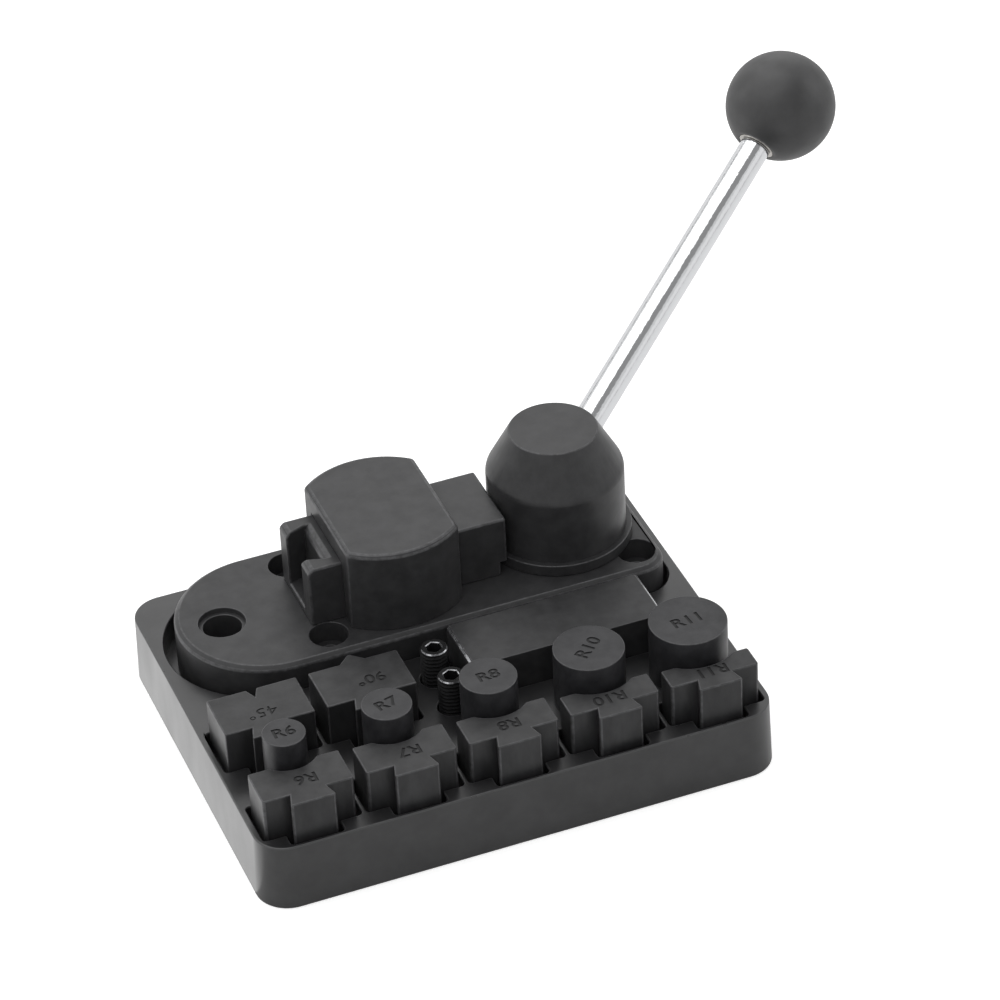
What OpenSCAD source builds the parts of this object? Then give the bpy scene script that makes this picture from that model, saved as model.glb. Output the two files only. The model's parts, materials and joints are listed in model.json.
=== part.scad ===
// Bench machine for bending ring shanks and small jewellery strip by hand.
// A lever turns an eccentric hub, which pushes a ram along a guide towards a
// round punch in the plate. The loose punches and dies wait in the tray.
// Origin: centre of the tray's bottom face. +X runs along the machine from the
// punch seat to the hub, +Y to the back of the tray, +Z up.

/* [Tray] */
// Depth of the tray from front to back, at its top edge
tray_w = 120; // [119:0.5:135]
// Height of the tray
tray_h = 20.7; // [18:0.1:26]
// Radius of the tray's upright corners
tray_corner_r = 9; // [7:0.5:10]
// How far each side leans out from the top edge to the bottom edge
tray_draft = 0.6; // [0.2:0.1:1.5]
// Wall between the outer face and the pockets at the two ends
end_wall = 1.9; // [1.8:0.1:3]
// Wall in front of the front row of pockets
front_wall = 1.2; // [1:0.1:2]
// Rib between two neighbouring pockets
pocket_rib = 1.3; // [1:0.1:2]
// Depth of the pockets that hold the dies and the block
pocket_depth = 5; // [4:0.5:7]
// Free space in front of a die in the front row
pocket_gap = 1.5; // [0.8:0.1:1.6]
// Free space beside and behind a die
pocket_play = 1.1; // [0.6:0.05:1.1]
// Radius in the inner corners of the pockets
pocket_corner_r = 1.2; // [0.8:0.1:1.4]
// Radial clearance of the punch pins in the tray's holes
tray_pin_play = 0.3; // [0.1:0.05:0.35]

/* [Machine plate] */
// Length of the machine plate over its round end
plate_l = 138.6; // [137.5:0.1:139.5]
// Width of the machine plate, which is also the diameter of its round end
plate_w = 53.2; // [52.6:0.1:53.4]
// Thickness of the machine plate
plate_t = 16; // [15:0.1:18]
// Radius of the plate's two square-end corners
plate_corner_r = 8; // [7:0.5:9]
// Width of the chamfer along the plate's top edge
plate_chamfer_w = 1.5; // [0.8:0.1:2]
// Height of the chamfer along the plate's top edge
plate_chamfer_h = 1.2; // [0.8:0.1:2]
// Depth of the tray's recess for the plate
recess_depth = 7.9; // [6:0.1:8.5]
// Free space along each long side of the plate
recess_side_gap = 1.1; // [0.8:0.1:1.4]
// Free space between the plate's square end and the tray
recess_end_gap = 1.8; // [1:0.1:2.2]
// Tray wall behind the recess
back_wall = 1.5; // [1.2:0.1:1.6]
// Tray wall at each end of the recess
recess_wall = 3; // [2.5:0.1:3.2]

/* [Bench holes] */
// Distance between the bench holes along the plate
bench_hole_l = 92.8; // [92:0.1:93.4]
// Distance between the bench holes across the plate
bench_hole_w = 35.2; // [34.8:0.1:36]
// Diameter of the bench holes, which clears a 6 mm screw
bench_hole_d = 6.6; // [6.2:0.1:7]
// Diameter of the counterbore that sinks the screw head
bench_head_d = 11; // [10.4:0.1:11.4]
// Depth of that counterbore
bench_head_depth = 6.5; // [5:0.1:8]
// From the plate's square end to the nearer bench holes
bench_hole_inset = 7.2; // [7:0.1:8]

/* [Punch seat] */
// From the plate's round end to the middle of the punch seat
seat_inset = 13; // [12:0.1:14]
// Diameter of the punch seat's bore
seat_d = 11; // [10:0.1:12]
// Diameter of the step round the seat's mouth
seat_step_d = 13.4; // [12.6:0.1:15]
// Depth of that step
seat_step_depth = 1.6; // [1:0.1:3]

/* [Guide housing] */
// From the punch seat to the middle of the guide housing
housing_from_seat = 49; // [48.6:0.1:49.4]
// Radius of the housing's two round sides
housing_r = 24.2; // [23.8:0.1:24.6]
// Length of the housing between its two flats
housing_l = 33.2; // [32:0.1:34.5]
// Height of the housing above the plate
housing_h = 25.8; // [24.5:0.1:28]
// Chamfer round the housing's top
housing_chamfer = 0.9; // [0.5:0.1:1.2]
// Running gap between the ram and the housing
guide_gap = 0.05; // [0.03:0.01:0.1]

/* [Ram] */
// Width of the ram
ram_w = 25; // [24:0.1:25.4]
// Height of the ram
ram_h = 19.3; // [18.8:0.1:19.8]
// Length of the ram
ram_l = 59; // [58:0.1:60]
// Least gap between the ram and the hub, with the lever at rest
cam_gap = 0.2; // [0.18:0.01:0.3]
// Width of the die slot where it opens in the ram's face
slot_mouth_w = 12.2; // [11.6:0.1:12.6]
// Width of the die slot at its inner wall
slot_inner_w = 16.4; // [15:0.1:17]
// Depth of the die slot from the ram's face
slot_depth = 6.05; // [5.4:0.05:6.4]
// Thickness of the ram under the die slot
slot_floor = 2.15; // [1.6:0.05:2.6]
// Chamfer along the top of the die slot's inner wall
slot_chamfer = 1.6; // [0.8:0.1:2]
// Chamfer along the top of the ram's two ears
ear_chamfer = 1.3; // [0.6:0.1:1.6]

/* [Hub and lever] */
// From the punch seat to the hub's centre, with the lever at rest
hub_from_seat = 101.5; // [101.2:0.1:101.8]
// Radius of the hub's working face
hub_r = 19.75; // [19:0.05:20]
// Radius of the flange at the hub's foot
hub_flange_r = 21.4; // [20.8:0.1:21.6]
// Height of the flange
hub_flange_h = 3.4; // [2.5:0.1:4]
// Height of the hub's round part above the plate
hub_cyl_h = 23.6; // [22.5:0.1:25]
// Radius of the hub's flat top
hub_top_r = 12.7; // [11.5:0.1:14]
// Height of the hub's cone
hub_cone_h = 12.8; // [12:0.1:14]
// Distance from the hub's centre to the axis that it turns on
hub_throw = 4.525; // [4:0.005:5]
// Turn of the lever that gives the ram its full travel, in degrees
lever_sweep = 90; // [80:1:90]
// Direction of the lever at rest, in degrees from +X towards +Y
lever_turn = 31; // [25:0.5:35]
// Lean of the lever above level, in degrees
lever_tilt = 30; // [28:0.5:32]
// Height above the plate at which the lever's axis meets the hub's axis
lever_base_h = 19.9; // [19:0.1:21]
// From that point to the middle of the ball
lever_l = 130; // [120:0.5:150]
// Diameter of the lever rod
rod_d = 9; // [8.6:0.1:10]
// Diameter of the rod's threaded ends
rod_thread_d = 8; // [6:0.1:8]
// Length of the rod's threaded ends
rod_thread_l = 10; // [8:0.5:10]
// Radius of the ball knob
knob_r = 16; // [14:0.5:20]
// Diameter of the flat where the rod enters the ball
knob_flat_d = 13.5; // [12.5:0.1:15]
// Diameter of the threaded insert in the ball
insert_d = 11; // [10.4:0.1:12]
// Length of the threaded insert
insert_l = 14; // [12:0.5:16]

/* [Pivot] */
// Diameter of the shaft that the hub turns on
shaft_d = 12; // [11:0.1:12.4]
// Running clearance between the shaft and its bush, on the radius
shaft_clearance = 0.03; // [0.02:0.01:0.06]
// Length of the shaft that is pressed into the hub
shaft_in_hub = 15.6; // [13:0.1:15.8]
// Outside diameter of the bronze bush
bush_d = 16; // [15:0.1:17]
// Diameter of the bush's flange
bush_flange_d = 20; // [18:0.1:22]
// Thickness of the bush's flange
bush_flange_t = 1.8; // [1.5:0.1:2.5]
// How far the flange stands above the plate and carries the hub
bush_proud = 0.3; // [0.2:0.05:0.4]
// Diameter of the recess under the plate for the washer
washer_recess_d = 20.4; // [19:0.1:22]
// Depth of that recess
washer_recess_depth = 8; // [7.6:0.1:8.4]
// Diameter of the retaining washer
washer_d = 18; // [17:0.1:18.6]
// Thickness of the retaining washer
washer_t = 1.5; // [1:0.1:1.6]
// End play of the shaft in the bush
end_play = 0.1; // [0.05:0.01:0.2]

/* [Screws] */
// Diameter of the screws that hold the housing and the washer
screw_d = 5; // [4:0.1:5]
// Diameter of their cylindrical heads
screw_head_d = 8.5; // [7.5:0.1:8.6]
// Height of their heads
screw_head_h = 5; // [4:0.1:5]
// Width across the flats of the hexagon in their heads
screw_hex = 4; // [3:0.1:4]
// Depth of the hexagon
screw_hex_depth = 2.5; // [2:0.1:3]
// Length of the housing screws under the head
housing_screw_l = 16; // [14:0.5:18]
// Length of the shaft screw under the head
shaft_screw_l = 14; // [10:0.5:15]
// Distance between the housing screws along the plate
housing_screw_pitch = 14; // [10:0.5:16]
// Distance between the housing screws across the plate
housing_screw_span = 36; // [35:0.2:37]
// Clearance round a screw in its hole, on the radius
screw_clearance = 0.25; // [0.15:0.05:0.4]

/* [Return spring] */
// Length of the return spring with the lever at rest
spring_l = 18; // [16:0.5:20]
// Mean diameter of the spring's coils
spring_coil_d = 6; // [5:0.1:6.2]
// Thickness of the spring's wire
spring_wire_d = 1; // [0.7:0.05:1.1]
// Number of coils
spring_turns = 7; // [5:1:8]
// Diameter of the pin that the spring pushes against
spring_pin_d = 6; // [5:0.1:6]
// Depth of the pin in the plate
spring_pin_depth = 10; // [8:0.5:12]
// Free space round the spring in the ram
spring_room = 0.7; // [0.5:0.1:1]
// From the middle of the housing back to the pin
spring_pin_offset = 7; // [6:0.1:8]

/* [Punches and dies] */
// Width of a die across its two arms
die_w = 26; // [25:0.1:26.4]
// Height of a die
die_h = 17; // [15:0.1:17.1]
// From a die's straight face to the centre of its groove
groove_reach = 18.8; // [18.4:0.1:19.4]
// Thickness of the strip that fits between a punch and its die
strip_t = 3; // [2:0.1:3.4]
// Width of a die's tab at its root
tab_root_w = 10.5; // [9.5:0.1:11]
// Width of a die's tab at its end
tab_end_w = 13; // [12.4:0.1:13.4]
// Length of a die's tab
tab_l = 4.4; // [4:0.1:4.8]
// Height of a punch's body
punch_h = 17.8; // [16:0.1:20]
// Diameter of a punch's pin
punch_pin_d = 10.9; // [9.9:0.1:10.9]
// Length of a punch's pin
punch_pin_l = 10; // [8:0.5:12]
// Depth of the two dies for angles
v_die_d = 16.2; // [15:0.1:16.6]
// Width of the narrow notch
v_notch_w = 3; // [2:0.1:4]
// Depth of the narrow notch
v_notch_depth = 3.4; // [2:0.1:4]
// Width of the nose at its root
v_nose_w = 7.4; // [6:0.1:9]
// How far the nose stands out
v_nose_l = 3.2; // [2:0.1:3.4]
// Width of the flat at the nose's tip
v_nose_tip_w = 0.8; // [0.4:0.1:2]
// Free space between the largest neighbouring punch and the angle dies
v_row_gap = 0.8; // [0.6:0.1:1.2]

/* [Block and set screws] */
// Length of the flat block
block_l = 57.6; // [54:0.1:58]
// Depth of the flat block from front to back
block_w = 20.1; // [18:0.1:20.4]
// Height of the flat block
block_h = 16; // [14:0.1:17]
// Chamfer along the block's two short top edges
block_chamfer = 0.8; // [0.4:0.1:1.5]
// Middle of the block, to the right of the tray's centre
block_x = 29; // [28:0.1:30]
// Free space round the block in its pocket
block_play = 0.8; // [0.4:0.1:0.9]
// Tray wall between the block's pocket and the plate's recess
block_wall = 2.8; // [2.4:0.1:3.2]
// Diameter of the set screws
set_screw_d = 8; // [7:0.1:8]
// Length of the set screws
set_screw_l = 20; // [16:0.5:24]
// Width across the flats of the hexagon in the set screws
set_screw_hex = 4; // [3:0.1:4]
// Depth of that hexagon
set_screw_hex_depth = 4; // [3:0.1:5]
// Bevel round each end of the set screws
set_screw_chamfer = 0.5; // [0.3:0.05:0.8]
// Depth of the holes that they stand in
set_screw_hole_depth = 9; // [7:0.5:11]
// Distance between the two set screws
set_screw_pitch = 13.5; // [12:0.1:14]
// From the block to the set screws
set_screw_gap = 6.5; // [6.2:0.1:7]
// From the plate's recess to the first set screw
set_screw_inset = 11; // [10:0.1:12]

/* [Hidden] */

// Radii of the five punches, from left to right, in millimetres
punch_radii = [6, 7, 8, 10, 11];
// Smoothness of round shapes
round_fn = 96;
small_fn = 48;
// How far a cut runs past the face that it opens in
overrun = 1;
// Gap left round a pressed or threaded fit, on the radius
fit_gap = 0.02;
// Room left past the end of a pin, a screw or a screw head in its hole
pin_end_room = 1;

// Columns of tools and the tray's length, which follows them
column_count = len(punch_radii);
pocket_w = die_w + 2 * pocket_play;
tool_pitch = pocket_w + pocket_rib;
tray_l = column_count * tool_pitch - pocket_rib + 2 * end_wall;
middle_column = (column_count - 1) / 2;
function column_x(i) = (i - middle_column) * tool_pitch;

// Places from front to back
tray_front = -tray_w / 2;
tab_front_y = tray_front + front_wall + pocket_gap;
die_front_y = tab_front_y + tab_l;
punch_y = die_front_y + groove_reach;
v_front_y = punch_y + punch_radii[1] + v_row_gap + tab_l;
recess_w = plate_w + 2 * recess_side_gap;
recess_l = tray_l - 2 * recess_wall;
machine_y = tray_w / 2 - back_wall - recess_w / 2;
recess_front_y = machine_y - recess_w / 2;
block_back_y = recess_front_y - block_wall - block_play;
block_y = block_back_y - block_w / 2;
nose_pocket_l = v_nose_l + pocket_play + pocket_corner_r;
set_screw_x = block_x - block_l / 2 - set_screw_gap;

// Levels from bottom to top
plate_bottom_z = tray_h - recess_depth;
plate_top_z = plate_bottom_z + plate_t;
pocket_floor_z = tray_h - pocket_depth;
hub_bottom_z = plate_top_z + bush_proud;
cone_bottom_z = plate_top_z + hub_cyl_h;
lever_base_z = plate_top_z + lever_base_h;
bush_bottom_z = plate_bottom_z + washer_recess_depth;
shaft_bottom_z = bush_bottom_z - end_play;
washer_bottom_z = shaft_bottom_z - washer_t;
screw_seat_z = plate_bottom_z + screw_head_h + pin_end_room;

// Places along the machine
plate_end_x = tray_l / 2 - recess_wall - recess_end_gap;
plate_start_x = plate_end_x - plate_l;
seat_x = plate_start_x + seat_inset;
housing_x = seat_x + housing_from_seat;
hub_x = seat_x + hub_from_seat;
ram_end_x = hub_x - hub_r - cam_gap;
ram_face_x = ram_end_x - ram_l;
bench_hole_x = plate_end_x - bench_hole_inset;
spring_pin_x = housing_x - spring_pin_offset;

// The eccentric: the hub's centre stands half the sweep before the dead line
throw_angle = -lever_sweep / 2;
pivot_x = hub_x - hub_throw * cos(throw_angle);
pivot_y = machine_y - hub_throw * sin(throw_angle);

// The flange runs under the ram's end, so the ram is cut away there
flange_undercut_l = hub_flange_r - hub_r + 2 * cam_gap + fit_gap;
flange_undercut_h = bush_proud + hub_flange_h + 2 * bush_proud;

// The spring's chamber in the underside of the ram
chamber_w = spring_coil_d + spring_wire_d + 2 * spring_room;
chamber_h = chamber_w;
spring_axis_z = plate_top_z + chamber_h / 2;
chamber_start_x = spring_pin_x - spring_pin_d / 2 - spring_room;
spring_start_x = spring_pin_x + spring_pin_d / 2 + fit_gap;
chamber_end_x = spring_start_x + spring_l + fit_gap;
spring_pin_h = chamber_h - spring_room;
spring_pitch = (spring_l - spring_wire_d) / spring_turns;
spring_steps = 8;
spring_sides = 6;

// Where the lever's axis leaves the cone, measured along the lever
cone_slope = (hub_r - hub_top_r) / hub_cone_h;
cone_rise = cone_bottom_z - lever_base_z;
rod_exit = (hub_r + cone_slope * cone_rise) / (cos(lever_tilt) + cone_slope * sin(lever_tilt));
rod_socket_depth = rod_d / 2;
rod_start = rod_exit - rod_socket_depth;
knob_flat_offset = sqrt(knob_r * knob_r - knob_flat_d * knob_flat_d / 4);
rod_end = lever_l - knob_flat_offset;

// One end of a block, standing out along +X, with upright corners of radius r.
// Each point of edge is (distance outside the nominal outline, height).
module profiled_end(w, r, edge) {
    height = edge[len(edge) - 1][1];
    section = concat([[0, 0]], [for (point = edge) [r + point[0], point[1]]], [[0, height]]);
    if (w > 2 * r) {
        translate([0, w / 2 - r, 0]) rotate([90, 0, 0]) linear_extrude(w - 2 * r)
            polygon(section);
    }
    for (side = [0, 1]) {
        mirror([0, side, 0]) translate([0, w / 2 - r, 0])
            rotate_extrude(angle = 90, $fn = round_fn) polygon(section);
    }
}

// A block from x = 0 to x = l whose two ends have their own corner radii
module profiled_block(l, w, start_r, end_r, edge) {
    count = len(edge);
    section = concat(
        [for (point = edge) [w / 2 + point[0], point[1]]],
        [for (i = [count - 1:-1:0]) [-w / 2 - edge[i][0], edge[i][1]]]
    );
    translate([start_r, 0, 0]) rotate([90, 0, 90]) linear_extrude(l - start_r - end_r)
        polygon(section);
    translate([start_r, 0, 0]) mirror([1, 0, 0]) profiled_end(w, start_r, edge);
    translate([l - end_r, 0, 0]) profiled_end(w, end_r, edge);
}

// A flat outline with rounded corners
module rounded_rectangle(l, w, r) {
    square([l - 2 * r, w], center = true);
    square([l, w - 2 * r], center = true);
    for (sx = [-1, 1], sy = [-1, 1]) {
        translate([sx * (l / 2 - r), sy * (w / 2 - r)]) circle(r, $fn = small_fn);
    }
}

// A cylinder between two levels
module level_cylinder(d, z0, z1, fn = small_fn) {
    translate([0, 0, z0]) cylinder(d = d, h = z1 - z0, $fn = fn);
}

// A hexagonal hole between two levels
module hex_hole(across_flats, z0, z1) {
    translate([0, 0, z0]) cylinder(d = across_flats / cos(30), h = z1 - z0, $fn = 6);
}

// A flat profile in X and Z, made solid along Y about the machine's centre line
module across_machine(w) {
    translate([0, machine_y + w / 2, 0]) rotate([90, 0, 0]) linear_extrude(w) children();
}

// The opening in the tray for one die, seen from above: y = 0 is the die's straight face
module die_pocket(body_d, front_gap) {
    body_l = body_d + front_gap + pocket_play;
    tab_pocket_l = tab_l + front_gap + 2 * pocket_corner_r;
    translate([0, body_l / 2 - front_gap])
        rounded_rectangle(pocket_w, body_l, pocket_corner_r);
    translate([0, tab_pocket_l / 2 - front_gap - tab_l])
        rounded_rectangle(tab_end_w + 2 * pocket_play, tab_pocket_l, pocket_corner_r);
}

// The places of the four bench holes
module at_bench_holes() {
    for (along = [0, 1], side = [-1, 1]) {
        translate([bench_hole_x - along * bench_hole_l, machine_y + side * bench_hole_w / 2, 0])
            children();
    }
}

// The places of the four housing screws
module at_housing_screws() {
    for (sx = [-1, 1], sy = [-1, 1]) {
        translate([housing_x + sx * housing_screw_pitch / 2,
                   machine_y + sy * housing_screw_span / 2, 0]) children();
    }
}

// The places of the two set screws
module at_set_screw(i) {
    translate([set_screw_x, recess_front_y - set_screw_inset - i * set_screw_pitch, 0])
        children();
}

// The lever's own frame: z runs out along the rod from the hub's axis
module along_lever(distance) {
    translate([hub_x, machine_y, lever_base_z]) rotate([0, 90 - lever_tilt, lever_turn])
        translate([0, 0, distance]) children();
}

// A cap screw, head down, with the underside of its head at z = 0
module cap_screw(l) {
    difference() {
        union() {
            level_cylinder(screw_head_d, -screw_head_h, 0);
            level_cylinder(screw_d, -screw_hex_depth, l);
        }
        hex_hole(screw_hex, -screw_head_h - overrun, screw_hex_depth - screw_head_h);
    }
}

// Moulded tray with the recess for the plate and a place for each tool
module storage_tray() {
    color("#29292b") difference() {
        translate([-tray_l / 2, 0, 0])
            profiled_block(tray_l, tray_w, tray_corner_r, tray_corner_r,
                           [[tray_draft, 0], [0, tray_h]]);
        translate([-recess_l / 2, machine_y, plate_bottom_z])
            profiled_block(recess_l, recess_w, recess_w / 2, plate_corner_r + recess_end_gap,
                           [[0, 0], [0, recess_depth + overrun]]);
        translate([0, 0, pocket_floor_z]) linear_extrude(pocket_depth + overrun) {
            for (i = [0:column_count - 1]) {
                translate([column_x(i), die_front_y])
                    die_pocket(groove_reach - punch_radii[i], pocket_gap);
            }
            for (i = [0, 1]) {
                translate([column_x(i), v_front_y]) die_pocket(v_die_d, pocket_play);
            }
            translate([column_x(1), v_front_y + v_die_d + nose_pocket_l / 2 - pocket_corner_r])
                rounded_rectangle(v_nose_w + 2 * pocket_play, nose_pocket_l, pocket_corner_r);
            translate([block_x, block_y])
                rounded_rectangle(block_l + 2 * block_play, block_w + 2 * block_play,
                                  pocket_corner_r);
        }
        for (i = [0:column_count - 1]) {
            translate([column_x(i), punch_y, 0])
                level_cylinder(punch_pin_d + 2 * tray_pin_play,
                               tray_h - punch_pin_l - pin_end_room, tray_h + overrun);
        }
        for (i = [0, 1]) {
            at_set_screw(i)
                level_cylinder(set_screw_d + 2 * tray_pin_play,
                               tray_h - set_screw_hole_depth, tray_h + overrun);
        }
        at_bench_holes() level_cylinder(bench_hole_d, -overrun, plate_bottom_z + overrun);
    }
}

// Steel plate that carries the machine
module machine_plate() {
    color("#1f1f21") difference() {
        translate([plate_start_x, machine_y, plate_bottom_z])
            profiled_block(plate_l, plate_w, plate_w / 2, plate_corner_r, [
                [0, 0], [0, plate_t - plate_chamfer_h], [-plate_chamfer_w, plate_t]
            ]);
        at_bench_holes() {
            level_cylinder(bench_hole_d, plate_bottom_z - overrun, plate_top_z + overrun);
            level_cylinder(bench_head_d, plate_top_z - bench_head_depth, plate_top_z + overrun);
        }
        translate([seat_x, machine_y, 0]) {
            level_cylinder(seat_d, plate_bottom_z - overrun, plate_top_z + overrun);
            level_cylinder(seat_step_d, plate_top_z - seat_step_depth, plate_top_z + overrun);
        }
        at_housing_screws() {
            level_cylinder(screw_d + 2 * screw_clearance, plate_bottom_z - overrun,
                           plate_top_z + overrun);
            level_cylinder(screw_head_d + 2 * screw_clearance, plate_bottom_z - overrun,
                           screw_seat_z);
        }
        translate([spring_pin_x, machine_y, 0])
            level_cylinder(spring_pin_d + 2 * fit_gap,
                           plate_top_z - spring_pin_depth, plate_top_z + overrun);
        translate([pivot_x, pivot_y, 0]) {
            level_cylinder(washer_recess_d, plate_bottom_z - overrun, bush_bottom_z);
            level_cylinder(bush_d + 2 * fit_gap, plate_bottom_z, plate_top_z + overrun);
            level_cylinder(bush_flange_d + 2 * fit_gap, hub_bottom_z - bush_flange_t,
                           plate_top_z + overrun);
        }
    }
}

// Bridge that guides the ram, round at the sides and flat at the ends
module guide_housing() {
    side = [
        [0, 0], [housing_r, 0], [housing_r, housing_h - housing_chamfer],
        [housing_r - housing_chamfer, housing_h], [0, housing_h]
    ];
    half_l = housing_l / 2;
    front = [
        [-half_l, 0], [half_l, 0], [half_l, housing_h - housing_chamfer],
        [half_l - housing_chamfer, housing_h], [housing_chamfer - half_l, housing_h],
        [-half_l, housing_h - housing_chamfer]
    ];
    tunnel_w = ram_w + 2 * guide_gap;
    color("#1f1f21") difference() {
        intersection() {
            translate([housing_x, machine_y, plate_top_z])
                rotate_extrude($fn = round_fn) polygon(side);
            translate([housing_x, 0, plate_top_z]) across_machine(3 * housing_r) polygon(front);
        }
        translate([housing_x - housing_l, machine_y - tunnel_w / 2, plate_top_z - overrun])
            cube([2 * housing_l, tunnel_w, ram_h + guide_gap + overrun]);
        at_housing_screws()
            level_cylinder(screw_d + 2 * fit_gap, plate_top_z - overrun,
                           screw_seat_z + housing_screw_l + pin_end_room);
    }
}

// Four cap screws that hold the guide housing from below the plate
module guide_housing_screws() {
    color("#2b2b2d") at_housing_screws() translate([0, 0, screw_seat_z])
        cap_screw(housing_screw_l);
}

// Sliding ram with the dovetail slot for a die's tab
module ram() {
    top_z = plate_top_z + ram_h;
    slot_end_x = ram_face_x + slot_depth;
    color("#1f1f21") difference() {
        translate([ram_face_x, machine_y - ram_w / 2, plate_top_z]) cube([ram_l, ram_w, ram_h]);
        translate([ram_face_x, machine_y, plate_top_z + slot_floor]) linear_extrude(ram_h)
            polygon([
                [-overrun, -slot_mouth_w / 2], [0, -slot_mouth_w / 2],
                [slot_depth, -slot_inner_w / 2], [slot_depth, slot_inner_w / 2],
                [0, slot_mouth_w / 2], [-overrun, slot_mouth_w / 2]
            ]);
        across_machine(2 * ram_w) polygon([
            [ram_face_x - overrun, top_z - ear_chamfer - overrun],
            [ram_face_x + ear_chamfer + overrun, top_z + overrun],
            [ram_face_x - overrun, top_z + overrun]
        ]);
        across_machine(slot_inner_w) polygon([
            [slot_end_x, top_z - slot_chamfer],
            [slot_end_x + slot_chamfer + overrun, top_z + overrun],
            [slot_end_x, top_z + overrun]
        ]);
        translate([chamber_start_x, machine_y - chamber_w / 2, plate_top_z - overrun])
            cube([chamber_end_x - chamber_start_x, chamber_w, chamber_h + overrun]);
        translate([ram_end_x - flange_undercut_l, machine_y - ram_w, plate_top_z - overrun])
            cube([flange_undercut_l + overrun, 2 * ram_w, flange_undercut_h + overrun]);
    }
}

// The coil of the return spring, swept along a helix
function spring_angle(i) = 360 * i / spring_steps;
function spring_point(i) = [
    spring_start_x + spring_wire_d / 2 + spring_pitch * i / spring_steps,
    machine_y + spring_coil_d / 2 * cos(spring_angle(i)),
    spring_axis_z + spring_coil_d / 2 * sin(spring_angle(i))
];
function spring_outward(i) = [0, cos(spring_angle(i)), sin(spring_angle(i))];
function spring_forward(i) = [
    spring_pitch / (PI * spring_coil_d), -sin(spring_angle(i)), cos(spring_angle(i))
];
function spring_aside(i) = let (v = cross(spring_forward(i), spring_outward(i))) v / norm(v);
function spring_ring(i) = [
    for (k = [0:spring_sides - 1]) let (turn = 360 * k / spring_sides)
        spring_point(i) + spring_wire_d / 2
            * (cos(turn) * spring_outward(i) + sin(turn) * spring_aside(i))
];

module return_spring() {
    last = spring_steps * spring_turns;
    points = [for (i = [0:last]) each spring_ring(i)];
    walls = [
        for (i = [0:last - 1], k = [0:spring_sides - 1])
            let (a = i * spring_sides, b = a + spring_sides, next = (k + 1) % spring_sides)
                each [[a + k, b + k, b + next], [a + k, b + next, a + next]]
    ];
    end_row = last * spring_sides;
    caps = [
        for (k = [1:spring_sides - 2])
            each [[0, k, k + 1], [end_row, end_row + k + 1, end_row + k]]
    ];
    gaps = [
        for (i = [0:last - spring_steps]) norm(spring_point(i + spring_steps) - spring_point(i))
    ];
    echo("least gap between the spring's coils", min(gaps) - spring_wire_d);
    color("#8d9094") polyhedron(points, concat(walls, caps));
}

// Pin in the plate that the return spring pushes against
module spring_pin() {
    color("#6f7174") translate([spring_pin_x, machine_y, 0])
        level_cylinder(spring_pin_d, plate_top_z - spring_pin_depth, plate_top_z + spring_pin_h);
}

// Flanged bronze bush that the pivot shaft turns in
module pivot_bush() {
    color("#a9814a") translate([pivot_x, pivot_y, 0]) difference() {
        union() {
            level_cylinder(bush_d, bush_bottom_z, hub_bottom_z);
            level_cylinder(bush_flange_d, hub_bottom_z - bush_flange_t, hub_bottom_z);
        }
        level_cylinder(shaft_d + 2 * shaft_clearance, bush_bottom_z - overrun,
                       hub_bottom_z + overrun);
    }
}

// Hub whose round working face stands off the axis that it turns on
module eccentric_hub() {
    color("#1f1f21") difference() {
        translate([hub_x, machine_y, 0]) {
            level_cylinder(2 * hub_flange_r, hub_bottom_z, hub_bottom_z + hub_flange_h, round_fn);
            level_cylinder(2 * hub_r, hub_bottom_z, cone_bottom_z, round_fn);
            translate([0, 0, cone_bottom_z])
                cylinder(r1 = hub_r, r2 = hub_top_r, h = hub_cone_h, $fn = round_fn);
        }
        translate([pivot_x, pivot_y, 0])
            level_cylinder(shaft_d + 2 * fit_gap, hub_bottom_z - overrun,
                           hub_bottom_z + shaft_in_hub + fit_gap);
        along_lever(0) {
            level_cylinder(rod_d + 2 * fit_gap, rod_start - fit_gap, lever_l);
            level_cylinder(rod_thread_d + 2 * fit_gap, rod_start - rod_thread_l - fit_gap, lever_l);
        }
    }
}

// Shaft pressed into the hub, with a tapped hole in its lower end
module pivot_shaft() {
    color("#8d9094") translate([pivot_x, pivot_y, 0]) difference() {
        level_cylinder(shaft_d, shaft_bottom_z, hub_bottom_z + shaft_in_hub);
        level_cylinder(screw_d + 2 * fit_gap, shaft_bottom_z - overrun,
                       washer_bottom_z + shaft_screw_l + pin_end_room);
    }
}

// Washer that stops the shaft from lifting out of its bush
module retaining_washer() {
    color("#8d9094") translate([pivot_x, pivot_y, 0]) difference() {
        level_cylinder(washer_d, washer_bottom_z, shaft_bottom_z);
        level_cylinder(screw_d + 2 * screw_clearance, washer_bottom_z - overrun,
                       shaft_bottom_z + overrun);
    }
}

// Cap screw that clamps the washer to the shaft
module shaft_screw() {
    color("#2b2b2d") translate([pivot_x, pivot_y, washer_bottom_z]) cap_screw(shaft_screw_l);
}

// Chromed lever rod, threaded at both ends
module lever_rod() {
    color("#c9ccd0") along_lever(0) {
        level_cylinder(rod_d, rod_start, rod_end);
        level_cylinder(rod_thread_d, rod_start - rod_thread_l, rod_end + rod_thread_l);
    }
}

// Threaded metal insert moulded into the ball
module knob_insert() {
    color("#b9bbbe") along_lever(rod_end) difference() {
        level_cylinder(insert_d, 0, insert_l);
        level_cylinder(rod_thread_d + 2 * fit_gap, -overrun, rod_thread_l + pin_end_room);
    }
}

// Ball knob with a flat where the rod enters
module ball_knob() {
    color("#1b1b1d") along_lever(lever_l) difference() {
        sphere(knob_r, $fn = round_fn);
        level_cylinder(2 * knob_r, -2 * knob_r, -knob_flat_offset);
        level_cylinder(insert_d + 2 * fit_gap, -knob_r, insert_l + fit_gap - knob_flat_offset);
    }
}

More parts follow.
